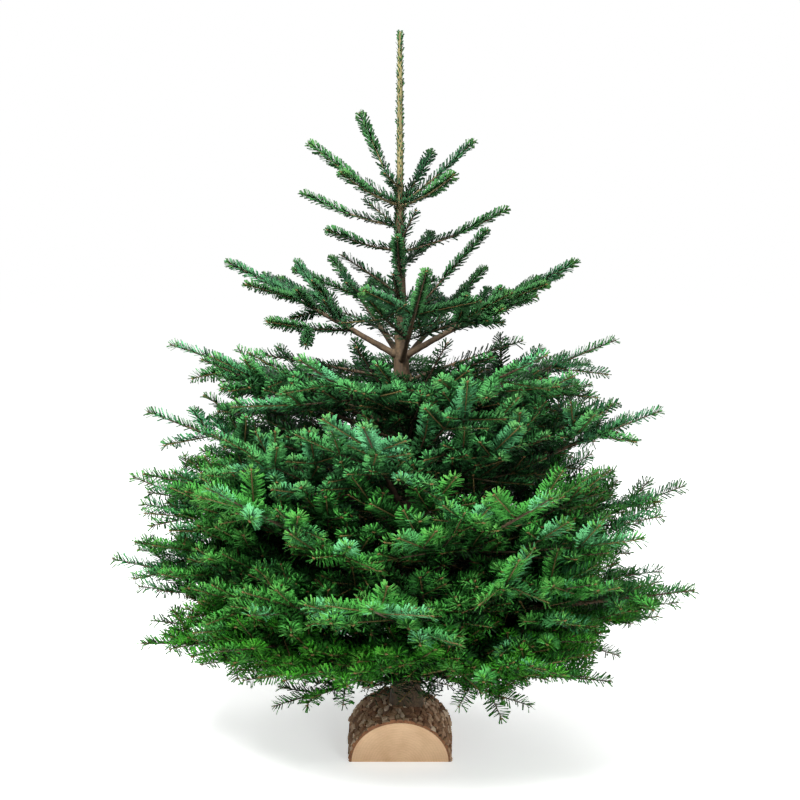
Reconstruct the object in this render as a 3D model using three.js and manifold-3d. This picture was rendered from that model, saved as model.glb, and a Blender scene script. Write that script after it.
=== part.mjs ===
// A cut fir, one and a half metres tall, whose trunk is wedged into a bored half log.
// Millimetres, +Z up. The origin is the middle of the log's flat underside, and the log's
// sawn end that faces forward looks along -Y.

import * as THREE from 'three';
import Module from 'manifold-3d';
import { mergeVertices } from 'three/addons/utils/BufferGeometryUtils.js';

const wasm = await Module();
wasm.setup();

const { degToRad, lerp, smoothstep } = THREE.MathUtils;

// Overall
const treeHeight = 1485;
const gap = 0.4; // air between two solids that meet

// Half log: a sawn half round, a little thicker at its rear end
const logWidth = 212; // across the front end
const logHeight = 89;
const logDepth = 190;
const logSwell = 1.07; // rear end over front end
const logFacets = 28;

// Trunk: radius at each height, from the foot in the log's bore up to the leader's bud
const trunkFoot = 42;
const spigotTop = 95; // the foot is pared down to here, just clear of the bark
const shoulder = 102;
const leaderTop = treeHeight - 14;
const trunkRadii = [
  [trunkFoot, 26.5],
  [spigotTop, 27.2],
  [shoulder, 31],
  [135, 30.5],
  [165, 28.5],
  [300, 26],
  [495, 22],
  [660, 18.5],
  [797, 16.5],
  [827, 13],
  [1000, 10.5],
  [1120, 8.4],
  [1150, 6.5],
  [1320, 5.5],
  [leaderTop, 4.2],
];
const trunkFacets = 14;
const footShift = { x: 13, y: 14 }; // the trunk leans from here to the log's middle
const leanEnd = 1130;

// Needles that sleeve the leader, and the tuft over its bud
const leaderNeedles = { from: 1180, spread: 8, neck: 1440, steps: 12 };

// Top shoots: one year old, unbranched, straight up and out of the leader's foot
const shoot = { halfWidth: 15, halfDepth: 12, facets: 6, rings: 6 };
const topShoots = [
  { height: 1130, turn: 185, reach: 187, rise: 34 },
  { height: 1134, turn: 129, reach: 136, rise: 55 },
  { height: 1131, turn: 64, reach: 158, rise: 37 },
  { height: 1128, turn: 9, reach: 155, rise: 41 },
  { height: 1127, turn: 304, reach: 188, rise: 17 },
  { height: 1129, turn: 232, reach: 188, rise: 18 },
];

// Single shoots on the trunk between the two top rings of boughs
const upperShoots = [
  { height: 1086, turn: 172, reach: 208, rise: 19 },
  { height: 1038, turn: 214, reach: 176, rise: 14 },
  { height: 1034, turn: 350, reach: 222, rise: 22 },
  { height: 1005, turn: 70, reach: 200, rise: 20 },
  { height: 985, turn: 268, reach: 170, rise: 26 },
];

// Rings of boughs from the top down. reach is the distance from the trunk's axis to the
// furthest needle, rise the angle from the foot of a bough to its tip, tilts what each bough
// adds to that, and turns their directions, counted from +X towards +Y. arch is how much the
// boughs bow upward over their reach, or sag where it is negative. limb is the share of the
// bough that is bare before its needles begin, or 0 where they hide it all.
const rings = [
  {
    height: 806, reach: 358, rise: 29.5, arch: 0.08, limb: 0.4, halfWidth: 130, halfDepth: 32, lobes: 4,
    turns: [180, 278, 352, 55, 118], reaches: [1, 0.9, 1, 0.92, 0.95], tilts: [1, 3, 1, 2, 3],
  },
  {
    height: 660, reach: 470, rise: 22, arch: 0.05, limb: 0.26, halfWidth: 195, halfDepth: 44, lobes: 5,
    turns: [178, 246, 306, 6, 90], reaches: [1.03, 0.95, 0.93, 0.96, 0.97], tilts: [-1, 2, 2, 2, 0],
  },
  {
    height: 495, reach: 525, rise: 23, arch: 0, limb: 0, halfWidth: 220, halfDepth: 54, lobes: 5,
    turns: [188, 262, 344, 48, 122], reaches: [1, 0.97, 1, 0.98, 0.98], tilts: [0, 4, 1, 2, 2],
  },
  {
    height: 352, reach: 580, rise: 20, arch: -0.03, limb: 0, halfWidth: 230, halfDepth: 54, lobes: 5,
    turns: [176, 232, 296, 358, 62, 118], reaches: [1, 0.97, 0.97, 1, 0.97, 0.98],
    tilts: [0, 7, 6, 0, 4, 4],
  },
  {
    height: 268, reach: 612, rise: 11.5, arch: -0.03, limb: 0, halfWidth: 250, halfDepth: 40, lobes: 5,
    turns: [183, 264, 333, 42, 115], reaches: [1, 0.94, 1, 0.95, 0.95], tilts: [1, 7, 1, 2, 3],
  },
  {
    height: 212, reach: 565, rise: 5, arch: 0, limb: 0, halfWidth: 240, halfDepth: 31, lobes: 5,
    turns: [196, 243, 305, 12, 90], reaches: [0.98, 0.86, 0.88, 1, 0.96], tilts: [0, 4, 3, 1, 1],
  },
  {
    height: 166, reach: 430, rise: -5, arch: 0, limb: 0, halfWidth: 200, halfDepth: 22, lobes: 4,
    turns: [168, 262, 340, 60], reaches: [0.95, 0.5, 1.02, 0.95], tilts: [3, 14, 7, 4],
  },
];

// How a foliage mass is formed
const mass = {
  facets: 8,
  widest: 0.62, // where along it, from its inner end, it is widest
  notch: 0.68, // width between two lobes over the width at them
  barb: 0.4, // how far a lobe's side reaches forward, in steps between rings
  cup: 0.1, // how far its sides stand up, over its half width
  belly: 0.8, // depth below the bough over height above it
};

const limbSize = { facets: 8, steps: 4, foot: 0.021, tip: 0.55 };

// Colours
const bark = new THREE.MeshStandardMaterial({ color: 0x6e5a4a, roughness: 0.9, metalness: 0 });
const logBark = new THREE.MeshStandardMaterial({ color: 0x6f5a4c, roughness: 0.95, metalness: 0 });
const darkNeedles = new THREE.MeshStandardMaterial({ color: 0x1d5238, roughness: 0.6, metalness: 0 });
const greenNeedles = new THREE.MeshStandardMaterial({ color: 0x2b6b2c, roughness: 0.6, metalness: 0 });

const tree = new THREE.Group();

function addPart(name, geometry, material) {
  const part = new THREE.Mesh(geometry, material);
  part.name = name;
  tree.add(part);
}

// Moves every vertex of a geometry to where move(vertex) puts it
function reshape(geometry, move) {
  const place = geometry.attributes.position;
  const vertex = new THREE.Vector3();
  for (let i = 0; i < place.count; i += 1) {
    move(vertex.fromBufferAttribute(place, i));
    place.setXYZ(i, vertex.x, vertex.y, vertex.z);
  }
  geometry.computeVertexNormals();
  return geometry;
}

// The trunk's middle line: upright in the log, then leaning back over the log's middle
function trunkAxis(height) {
  const lean = 1 - smoothstep(height, shoulder, leanEnd);
  return new THREE.Vector3(footShift.x * lean, footShift.y * lean, height);
}

function trunkRadius(height) {
  const above = trunkRadii.findIndex(([level]) => level >= height);
  const upper = above < 1 ? 1 : above;
  const [lowLevel, lowRadius] = trunkRadii[upper - 1];
  const [highLevel, highRadius] = trunkRadii[upper];
  return lerp(lowRadius, highRadius, (height - lowLevel) / (highLevel - lowLevel));
}

function leanWithTrunk(vertex) {
  const axis = trunkAxis(vertex.z);
  vertex.x += axis.x;
  vertex.y += axis.y;
}

// A shape turned about Z from a profile of [height, radius] steps
function turned(profile, facets) {
  const points = profile.map(([height, radius]) => new THREE.Vector2(radius, height));
  const geometry = new THREE.LatheGeometry(points, facets);
  geometry.rotateX(Math.PI / 2);
  return geometry;
}

function trunk() {
  const profile = [[trunkFoot, 0], ...trunkRadii, [leaderTop, 0]];
  return reshape(turned(profile, trunkFacets), leanWithTrunk);
}

// Short needles round the leader: an uneven sleeve that closes over the bud
function leaderSleeve() {
  const { from, spread, neck, steps } = leaderNeedles;
  const heights = Array.from({ length: steps + 1 }, (_, i) => lerp(from, leaderTop, i / steps));
  const clear = gap / Math.cos(Math.PI / trunkFacets);
  const inside = heights.map((height) => [height, trunkRadius(height) + clear]);
  const outside = heights.map((height, i) => {
    const swell = height > neck ? 1.25 : 0.8 + 0.2 * (i % 2);
    return [height, trunkRadius(height) + spread * swell];
  });
  const crown = [[treeHeight, 0], [treeHeight - 2, 5]];
  const profile = [[leaderTop + gap, 0], ...inside.reverse(), ...outside, ...crown.reverse()];
  return reshape(turned(profile, trunkFacets), leanWithTrunk);
}

function asSolid(geometry) {
  const bare = geometry.clone();
  bare.deleteAttribute('normal');
  bare.deleteAttribute('uv');
  const merged = mergeVertices(bare);
  return new wasm.Manifold(new wasm.Mesh({
    numProp: 3,
    vertProperties: Float32Array.from(merged.attributes.position.array),
    triVerts: Uint32Array.from(merged.index.array),
  }));
}

function asGeometry(solid) {
  const result = solid.getMesh();
  const geometry = new THREE.BufferGeometry();
  geometry.setAttribute('position', new THREE.BufferAttribute(result.vertProperties, 3));
  geometry.setIndex(new THREE.BufferAttribute(result.triVerts, 1));
  geometry.computeVertexNormals();
  return geometry;
}

// Half log with an upright blind bore that takes the trunk's foot
function halfLog() {
  const outline = new THREE.Shape();
  outline.moveTo(logWidth / 2, 0);
  outline.absellipse(0, 0, logWidth / 2, logHeight, 0, Math.PI, false);
  outline.closePath();
  const log = new THREE.ExtrudeGeometry(outline, {
    depth: logDepth,
    bevelEnabled: false,
    curveSegments: logFacets,
  });
  log.rotateX(Math.PI / 2);
  log.translate(0, logDepth / 2, 0);
  reshape(log, (vertex) => {
    const swell = lerp(1, logSwell, vertex.y / logDepth + 0.5);
    vertex.x *= swell;
    vertex.z *= swell;
  });
  const boreFacets = 2 * trunkFacets;
  const boreRadius = (trunkRadius(spigotTop) + gap) / Math.cos(Math.PI / boreFacets);
  const boreHeight = 2 * logHeight;
  const bore = new THREE.CylinderGeometry(boreRadius, boreRadius, boreHeight, boreFacets);
  bore.rotateX(Math.PI / 2);
  bore.translate(footShift.x, footShift.y, trunkFoot - gap + boreHeight / 2);
  return asGeometry(asSolid(log).subtract(asSolid(bore)));
}

// A bough's middle line, at t from 0 on the trunk's axis to 1 at its tip
function boughPoint(bough, t) {
  const turn = degToRad(bough.turn);
  const out = bough.reach * t;
  const lift = out * Math.tan(degToRad(bough.rise)) + bough.arch * bough.reach * t * (1 - t);
  const along = new THREE.Vector3(Math.cos(turn) * out, Math.sin(turn) * out, lift);
  return trunkAxis(bough.height).add(along);
}

// The bough's own directions at t: along it, level across it, and up from it
function boughFrame(bough, t) {
  const step = 0.01;
  const along = boughPoint(bough, t + step).sub(boughPoint(bough, t - step)).normalize();
  const turn = degToRad(bough.turn);
  const side = new THREE.Vector3(Math.sin(turn), -Math.cos(turn), 0);
  const up = new THREE.Vector3().crossVectors(side, along);
  return { along, side, up };
}

// Puts a sphere's vertices round a bough: poles at its two ends, rings as the caller sizes them
function alongBough(bough, facets, ringCount, from, to, sizeAt) {
  return reshape(new THREE.SphereGeometry(1, facets, ringCount), (vertex) => {
    const ring = Math.round((Math.acos(-vertex.y) / Math.PI) * ringCount);
    const round = Math.hypot(vertex.x, vertex.z);
    const atPole = ring === 0 || ring === ringCount;
    const side = atPole ? 0 : vertex.x / round;
    const lift = atPole ? 0 : vertex.z / round;
    const size = sizeAt(ring, side, lift);
    const t = lerp(from, to, (ring + size.forward) / ringCount);
    const frame = boughFrame(bough, t);
    vertex.copy(boughPoint(bough, t));
    vertex.addScaledVector(frame.side, size.width * side);
    vertex.addScaledVector(frame.up, size.depth * lift + size.raise);
  });
}

// A single needled shoot, near round and blunt at both ends
function needledShoot(bough) {
  const { halfWidth, halfDepth, facets, rings: ringCount } = shoot;
  const from = (trunkRadius(bough.height) + 4) / bough.reach;
  return alongBough(bough, facets, ringCount, from, 1, (ring) => {
    const fullness = Math.sin((Math.PI * ring) / ringCount) ** 0.4;
    return { width: halfWidth * fullness, depth: halfDepth * fullness, forward: 0, raise: 0 };
  });
}

// Widths are held inside the wedge between a bough and its neighbours in the ring
function wedgeRoom(bough, t, side) {
  const wedge = side > 0 ? bough.wedgeRight : bough.wedgeLeft;
  return bough.reach * t * Math.tan(degToRad(wedge)) - 2;
}

// A flat spray of needled twigs: narrow at its foot, lobed along both sides, pointed at its tip
function foliageMass(bough, ring) {
  const ringCount = 2 * ring.lobes;
  const outer = 1 - mass.widest;
  const from = ring.limb > 0 ? ring.limb : (trunkRadius(bough.height) + 5) / bough.reach;
  return alongBough(bough, mass.facets, ringCount, from, 1, (step, side, lift) => {
    const share = step / ringCount;
    const opening = share / mass.widest;
    const closing = (share - mass.widest) / outer;
    const spread = share < mass.widest ? opening ** 0.8 : 1 - 0.95 * closing ** 0.7;
    const lobe = step % 2 === 1 ? 1 : mass.notch;
    const room = wedgeRoom(bough, lerp(from, 1, share), side);
    const width = Math.min(ring.halfWidth * bough.size * spread, room) * lobe;
    const thickness = 0.3 + 0.7 * Math.sin(Math.PI * share ** 0.8);
    const depth = ring.halfDepth * thickness * (lift > 0 ? 1 : mass.belly);
    const forward = step % 2 === 1 ? mass.barb * Math.abs(side) : 0;
    const raise = mass.cup * width * side * side;
    return { width, depth, forward, raise };
  });
}

// A bare limb from the trunk's side to where its foliage begins
function bareLimb(bough, ring) {
  const { facets, steps, foot, tip } = limbSize;
  const footRadius = foot * bough.reach;
  const slope = Math.sin(degToRad(bough.rise) + 2 * bough.arch);
  const start = trunkRadius(bough.height) + gap + footRadius * slope;
  const from = start / bough.reach;
  const to = ring.limb - gap / bough.reach;
  const limb = new THREE.CylinderGeometry(tip, 1, 1, facets, steps);
  return reshape(limb, (vertex) => {
    const share = vertex.y + 0.5;
    const t = lerp(from, to, share);
    const frame = boughFrame(bough, t);
    const side = vertex.x * footRadius;
    const up = vertex.z * footRadius;
    vertex.copy(boughPoint(bough, t));
    vertex.addScaledVector(frame.side, side);
    vertex.addScaledVector(frame.up, up);
  });
}

// Half the angle from a bough to the next one round the ring, less a little air
function halfAngle(fromTurn, toTurn) {
  const between = (((toTurn - fromTurn) % 360) + 360) % 360;
  return between / 2 - 1.2;
}

function boughsOf(ring) {
  const count = ring.turns.length;
  return ring.turns.map((turn, i) => {
    const stagger = (i % 2 === 0 ? 4 : -4);
    return {
      height: ring.height + stagger,
      turn,
      reach: ring.reach * ring.reaches[i],
      rise: ring.rise + ring.tilts[i],
      arch: ring.arch,
      size: ring.reaches[i],
      wedgeLeft: halfAngle(turn, ring.turns[(i + 1) % count]),
      wedgeRight: halfAngle(ring.turns[(i + count - 1) % count], turn),
    };
  });
}

addPart('half_log_stand', halfLog(), logBark);
addPart('trunk', trunk(), bark);
addPart('leader_needles', leaderSleeve(), darkNeedles);

topShoots.forEach((bough, i) => {
  addPart(`top_shoot_${i + 1}`, needledShoot({ ...bough, arch: 0 }), darkNeedles);
});

upperShoots.forEach((bough, i) => {
  addPart(`upper_shoot_${i + 1}`, needledShoot({ ...bough, arch: 0.04 }), darkNeedles);
});

rings.forEach((ring, level) => {
  const needles = level < 4 ? darkNeedles : greenNeedles;
  boughsOf(ring).forEach((bough, i) => {
    if (ring.limb > 0) {
      addPart(`bough_ring${level + 1}_${i + 1}`, bareLimb(bough, ring), bark);
    }
    addPart(`foliage_ring${level + 1}_${i + 1}`, foliageMass(bough, ring), needles);
  });
});

export default tree;
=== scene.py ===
import math

import bmesh
import bpy
import numpy as np
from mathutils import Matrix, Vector, noise


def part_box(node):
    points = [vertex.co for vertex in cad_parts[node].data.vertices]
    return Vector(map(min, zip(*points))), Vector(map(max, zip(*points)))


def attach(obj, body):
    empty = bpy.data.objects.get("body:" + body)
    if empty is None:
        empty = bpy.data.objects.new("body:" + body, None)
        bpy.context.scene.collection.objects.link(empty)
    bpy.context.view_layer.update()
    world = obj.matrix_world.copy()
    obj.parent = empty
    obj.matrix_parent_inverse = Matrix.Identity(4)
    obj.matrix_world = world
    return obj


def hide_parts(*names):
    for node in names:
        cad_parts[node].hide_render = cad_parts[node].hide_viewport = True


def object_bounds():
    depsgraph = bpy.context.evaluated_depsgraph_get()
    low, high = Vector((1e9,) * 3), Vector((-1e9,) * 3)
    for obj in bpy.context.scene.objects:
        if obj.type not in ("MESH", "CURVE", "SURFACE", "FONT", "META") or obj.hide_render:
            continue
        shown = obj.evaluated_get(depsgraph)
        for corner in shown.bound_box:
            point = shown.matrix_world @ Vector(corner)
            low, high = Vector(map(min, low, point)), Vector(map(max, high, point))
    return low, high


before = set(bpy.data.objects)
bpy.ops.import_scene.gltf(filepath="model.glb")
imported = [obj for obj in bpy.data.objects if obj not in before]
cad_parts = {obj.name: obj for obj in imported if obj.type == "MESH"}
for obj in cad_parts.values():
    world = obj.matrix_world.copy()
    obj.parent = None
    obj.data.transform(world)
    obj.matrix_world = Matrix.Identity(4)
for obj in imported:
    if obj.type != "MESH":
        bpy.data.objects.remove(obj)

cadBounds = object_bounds()
mm = 0.001
goldenAngle = math.pi * (3 - math.sqrt(5))
skyward = np.array((0.0, 0.0, 1.0))
upright = 0.05      # a direction with less than this much sideways in it counts as upright


# Small helpers
def unit(vector):
    return vector / max(float(np.linalg.norm(vector)), 1e-9)


def smoothStep(value, low, high):
    share = np.clip((value - low) / (high - low), 0, 1)
    return share * share * (3 - 2 * share)


def nodeCorners(*names):
    spots = [v.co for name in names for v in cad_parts[name].data.vertices]
    return np.array(spots, float).reshape(-1, 3)


def nodesLike(start):
    return sorted(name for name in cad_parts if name.startswith(start))


def sideAndUp(along):
    # level to the right of a direction, and square to both
    side = np.cross(along, skyward)
    if np.linalg.norm(side) < upright:
        side = np.array((1.0, 0.0, 0.0))
    side = unit(side)
    return side, np.cross(side, along)


def newObject(name, mesh, materials):
    piece = bpy.data.objects.new(name, mesh)
    bpy.context.scene.collection.objects.link(piece)
    for material in materials:
        mesh.materials.append(material)
    return piece


def meshFromBmesh(name, bm):
    mesh = bpy.data.meshes.new(name)
    bm.to_mesh(mesh)
    bm.free()
    return mesh


# The trunk's line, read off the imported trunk
trunkSpots = nodeCorners("trunk")
trunkLevels = np.unique(np.round(trunkSpots[:, 2], 4))
levelRings = [trunkSpots[np.abs(trunkSpots[:, 2] - level) < 2e-4] for level in trunkLevels]
levelMiddles = np.array([(ring.min(0) + ring.max(0)) / 2 for ring in levelRings])
levelRadii = np.array([np.hypot(*(ring - middle)[:, :2].T).max()
                       for ring, middle in zip(levelRings, levelMiddles)])


def trunkAxis(height):
    return np.array((np.interp(height, trunkLevels, levelMiddles[:, 0]),
                     np.interp(height, trunkLevels, levelMiddles[:, 1]), height))


def trunkRadius(height):
    return float(np.interp(height, trunkLevels, levelRadii))


# Materials
def newMaterial(name, roughness=0.6, **sockets):
    material = bpy.data.materials.new(name)
    material.use_nodes = True
    shader = material.node_tree.nodes["Principled BSDF"]
    shader.inputs["Roughness"].default_value = roughness
    for socket, value in sockets.items():
        shader.inputs[socket.replace("_", " ")].default_value = value
    return material, shader


def plainMaterial(name, colour, roughness, **sockets):
    material, shader = newMaterial(name, roughness, **sockets)
    shader.inputs["Base Color"].default_value = (*colour, 1)
    return material


class Wiring:
    # shorthand for placing and joining a material's nodes
    def __init__(self, tree):
        self.tree = tree

    def node(self, kind, inputs=None, **settings):
        made = self.tree.nodes.new(kind)
        for setting, value in settings.items():
            setattr(made, setting, value)
        for socket, value in (inputs or {}).items():
            if isinstance(value, bpy.types.NodeSocket):
                self.tree.links.new(value, made.inputs[socket])
            else:
                made.inputs[socket].default_value = value
        return made

    def ramp(self, value, stops):
        made = self.node("ShaderNodeValToRGB", {"Fac": value})
        while len(made.color_ramp.elements) < len(stops):
            made.color_ramp.elements.new(0.5)
        for element, (place, colour) in zip(made.color_ramp.elements, stops):
            element.position = place
            element.color = (*colour, 1)
        return made.outputs["Color"]

    def blend(self, share, first, second, how="MIX"):
        made = self.node("ShaderNodeMix", data_type="RGBA", blend_type=how)
        for socket, value in ((0, share), (6, first), (7, second)):
            if isinstance(value, bpy.types.NodeSocket):
                self.tree.links.new(value, made.inputs[socket])
            else:
                made.inputs[socket].default_value = value if socket == 0 else (*value, 1)
        return made.outputs[2]

    def bump(self, height, strength, distance):
        made = self.node("ShaderNodeBump", {"Height": height, "Strength": strength, "Distance": distance})
        return made.outputs["Normal"]

    def feed(self, shader, colour, normal):
        self.tree.links.new(colour, shader.inputs["Base Color"])
        self.tree.links.new(normal, shader.inputs["Normal"])


def mottleGroup():
    # soft uneven tone: a value round 0.5 from two sizes of noise, and the finer one's height
    group = bpy.data.node_groups.new("mottle", "ShaderNodeTree")
    face = group.interface
    face.new_socket("Vector", in_out="INPUT", socket_type="NodeSocketVector")
    for name, value in (("Coarse Scale", 12.0), ("Fine Scale", 120.0), ("Fine Share", 0.4)):
        face.new_socket(name, in_out="INPUT", socket_type="NodeSocketFloat").default_value = value
    face.new_socket("Tone", in_out="OUTPUT", socket_type="NodeSocketFloat")
    face.new_socket("Grain", in_out="OUTPUT", socket_type="NodeSocketFloat")
    w = Wiring(group)
    given = w.node("NodeGroupInput")
    coarse = w.node("ShaderNodeTexNoise", {"Vector": given.outputs["Vector"],
                                           "Scale": given.outputs["Coarse Scale"], "Detail": 4.0})
    fine = w.node("ShaderNodeTexNoise", {"Vector": given.outputs["Vector"],
                                         "Scale": given.outputs["Fine Scale"], "Detail": 5.0})
    tone = w.node("ShaderNodeMix", {0: given.outputs["Fine Share"], 2: coarse.outputs["Fac"],
                                    3: fine.outputs["Fac"]}, data_type="FLOAT")
    w.node("NodeGroupOutput", {"Tone": tone.outputs[0], "Grain": fine.outputs["Fac"]})
    return group


mottle = mottleGroup()


def placeMottle(w, vector, coarse, fine, share):
    return w.node("ShaderNodeGroup", {"Vector": vector, "Coarse Scale": coarse,
                                      "Fine Scale": fine, "Fine Share": share}, node_tree=mottle)


# Needles: one plain colour above and one beneath for each height in the crown and each tone
needleColours = {
    # tier: {tone: (upper side, underside)}
    "top": {
        "shade": ((0.006, 0.032, 0.009), (0.020, 0.075, 0.028)),
        "inner": ((0.008, 0.046, 0.012), (0.026, 0.098, 0.030)),
        "blue": ((0.008, 0.050, 0.018), (0.042, 0.150, 0.060)),
        "green": ((0.012, 0.062, 0.014), (0.042, 0.150, 0.044)),
        "mint": ((0.020, 0.105, 0.036), (0.062, 0.212, 0.086)),
        "tip": ((0.024, 0.092, 0.016), (0.062, 0.180, 0.046)),
    },
    # from here down the outer sprays' tones are brighter, more saturated greens than at the top: painted
    # light, standing in for light shining through the needles
    "middle": {
        "shade": ((0.001, 0.014, 0.002), (0.007, 0.042, 0.009)),
        "inner": ((0.004, 0.034, 0.006), (0.020, 0.095, 0.026)),
        "blue": ((0.008, 0.075, 0.023), (0.065, 0.260, 0.100)),
        "green": ((0.014, 0.100, 0.015), (0.062, 0.260, 0.070)),
        "mint": ((0.030, 0.175, 0.062), (0.100, 0.350, 0.155)),
        "tip": ((0.027, 0.120, 0.022), (0.085, 0.265, 0.072)),
    },
    "lower": {
        "shade": ((0.001, 0.014, 0.001), (0.005, 0.038, 0.005)),
        "inner": ((0.004, 0.036, 0.004), (0.016, 0.095, 0.015)),
        "blue": ((0.008, 0.090, 0.018), (0.060, 0.265, 0.072)),
        "green": ((0.014, 0.120, 0.009), (0.052, 0.265, 0.040)),
        "mint": ((0.034, 0.200, 0.060), (0.105, 0.380, 0.150)),
        "tip": ((0.028, 0.135, 0.016), (0.078, 0.270, 0.048)),
    },
    "skirt": {
        "shade": ((0.001, 0.018, 0.001), (0.005, 0.044, 0.003)),
        "inner": ((0.004, 0.045, 0.002), (0.014, 0.100, 0.008)),
        "blue": ((0.008, 0.095, 0.009), (0.040, 0.215, 0.028)),
        "green": ((0.015, 0.132, 0.005), (0.038, 0.240, 0.014)),
        "mint": ((0.028, 0.195, 0.030), (0.075, 0.320, 0.070)),
        "tip": ((0.028, 0.150, 0.008), (0.065, 0.260, 0.025)),
    },
}
needleFinish = {"roughness": 0.45, "gloss": 0.22, "undersideRoughness": 0.65, "undersideGloss": 0.1}

needleMaterials = {}
for tier, tones in needleColours.items():
    for tone, (upper, under) in tones.items():
        needleMaterials[tier, tone] = (
            plainMaterial(f"needle_{tier}_{tone}", upper, needleFinish["roughness"],
                          Specular_IOR_Level=needleFinish["gloss"]),
            plainMaterial(f"needle_{tier}_{tone}_underside", under,
                          needleFinish["undersideRoughness"],
                          Specular_IOR_Level=needleFinish["undersideGloss"]),
        )

youngTwigMaterial = plainMaterial("young twig bark", (0.125, 0.095, 0.032), 0.6, Specular_IOR_Level=0.2)
oldTwigMaterial = plainMaterial("older twig bark", (0.040, 0.030, 0.014), 0.7, Specular_IOR_Level=0.2)
budMaterial = plainMaterial("bud scales", (0.150, 0.095, 0.030), 0.55, Specular_IOR_Level=0.3)


barkLook = {"oliveFrom": 1.08, "oliveOver": 1.22,     # it turns olive green between these heights
            "relief": 1.2 * mm, "reliefStrength": 0.5, "dullest": 0.92, "smoothest": 0.68}


def barkMaterial():
    material, shader = newMaterial("young fir bark", 0.8)
    w = Wiring(material.node_tree)
    place = w.node("ShaderNodeTexCoord").outputs["Object"]
    tone = placeMottle(w, place, 26.0, 210.0, 0.45)
    stretched = w.node("ShaderNodeMapping", {"Vector": place, "Scale": (1.0, 1.0, 0.16)})
    furrows = w.node("ShaderNodeTexNoise", {"Vector": stretched.outputs["Vector"],
                                            "Scale": 170.0, "Detail": 4.0, "Roughness": 0.6})
    brown = w.ramp(tone.outputs["Tone"], [(0.30, (0.022, 0.014, 0.007)), (0.50, (0.066, 0.042, 0.021)),
                                          (0.70, (0.150, 0.105, 0.060))])
    streaks = w.ramp(furrows.outputs["Fac"], [(0.3, (0.18, 0.14, 0.10)), (0.65, (0.75, 0.70, 0.62))])
    streaked = w.blend(0.5, brown, streaks, "OVERLAY")
    height = w.node("ShaderNodeSeparateXYZ", {"Vector": place}).outputs["Z"]
    youth = w.node("ShaderNodeMapRange", {"Value": height, "From Min": barkLook["oliveFrom"],
                                          "From Max": barkLook["oliveOver"]})
    olive = w.ramp(tone.outputs["Tone"], [(0.3, (0.080, 0.070, 0.022)), (0.7, (0.230, 0.195, 0.080))])
    colour = w.blend(youth.outputs["Result"], streaked, olive)
    relief = w.node("ShaderNodeMath", {0: furrows.outputs["Fac"], 1: tone.outputs["Grain"]},
                    operation="ADD")
    rough = w.node("ShaderNodeMapRange", {"Value": tone.outputs["Grain"],
                                          "To Min": barkLook["smoothest"], "To Max": barkLook["dullest"]})
    material.node_tree.links.new(rough.outputs["Result"], shader.inputs["Roughness"])
    w.feed(shader, colour, w.bump(relief.outputs[0], barkLook["reliefStrength"], barkLook["relief"]))
    return material


youngBark = barkMaterial()


# Growth. One entry for each ring of boughs, from the top: a bough's years of growth, the length of
# this year's shoot, the share of the bough that is bare by the trunk, the tier that its needles are
# coloured for, how many degrees its side shoots lift out of its plane, how freely it throws shoots
# up off its flat, the room that side branches have over its tip, and how much it bows upward
ringHabits = {
    1: {"years": 3, "shoot": 0.165, "bare": 0.34, "tier": "top", "lift": -9, "tops": 0.0,
        "room": -0.05, "bow": 0.02},
    2: {"years": 4, "shoot": 0.150, "bare": 0.22, "tier": "middle", "lift": -7, "tops": 0.15,
        "room": -0.08, "bow": 0.03},
    3: {"years": 5, "shoot": 0.135, "bare": 0.14, "tier": "middle", "lift": -5, "tops": 1.0,
        "room": 0.0, "bow": 0.0},
    4: {"years": 5, "shoot": 0.125, "bare": 0.12, "tier": "lower", "lift": -4, "tops": 1.0,
        "room": 0.012, "bow": -0.03},
    5: {"years": 5, "shoot": 0.118, "bare": 0.10, "tier": "lower", "lift": -3, "tops": 0.9,
        "room": 0.012, "bow": -0.03},
    6: {"years": 5, "shoot": 0.105, "bare": 0.10, "tier": "skirt", "lift": -1, "tops": 0.6,
        "room": 0.012, "bow": 0.0},
    7: {"years": 4, "shoot": 0.090, "bare": 0.10, "tier": "skirt", "lift": 0, "tops": 0.3,
        "room": 0.012, "bow": 0.0},
}
growth = {
    "forkAngle": 45,        # between a bough and its side shoots, degrees
    "forkScatter": 7,
    "liftScatter": 11,
    "lastOrder": 3,         # boughs are order 0, their side branches 1, and this order doesn't fork
    "sideShare": 0.86,      # a side branch's length over what is left of its parent
    "sideScatter": (0.85, 1.1),
    "orderShare": 0.90,     # how much of that is kept from one order to the next
    "leastShoot": 0.062,    # a branch has as many years as keep its shoots this long
    "leastShare": 0.8,      # and isn't grown where even one would be under this share of that
    "yearScatter": (0.9, 1.12),
    "bend": 0.06,           # how far each year's shoot wanders to the side
    "rise": 0.10,           # and turns up towards the light
    "riseScatter": 0.05,
    "lowest": 0.13,         # how low side branches may reach by the trunk
    "frontLift": 0.3,       # how fast that rises towards the front, to clear the log's face
    "sideLift": 0.3,        # and to both sides, past this far from the middle
    "stem": 0.25,
    "outline": 0.98,        # side branches that would pass this share of the crown's reach are cut short
    "cutRate": 1.5,         # by this much for each share that they are over
    "cutLeast": 0.5,        # and never to less than this share
    "weakShare": 0.50,      # weak shoots between two forks, over this year's shoot
    "weakScatter": (0.85, 1.3),
    "weakPlaces": (0.3, 0.65),          # where they stand between the forks
    "weakShift": 0.1,
    "weakAngle": (50, 66),
    "weakLift": (0.05, 0.2),            # middle and scatter
    "weakChance": (0.45, 0.20, 0.0),    # of one standing on a stretch of a bough, a branch, a twig
    "topChance": (0.55, 0.40, 0.15),    # a fork that also throws a shoot up off the flat of the spray
    "topLift": (32, 62),
    "topLength": (0.55, 0.85),
    "topLean": 0.4,
    "topRoom": 0.05,        # more room over the bough's tip for these
    "needleReach": 0.007,   # needles past the end of a shoot
    "roll": 0.28,           # how far a shoot's needles turn about it, away from the flat
}
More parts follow.
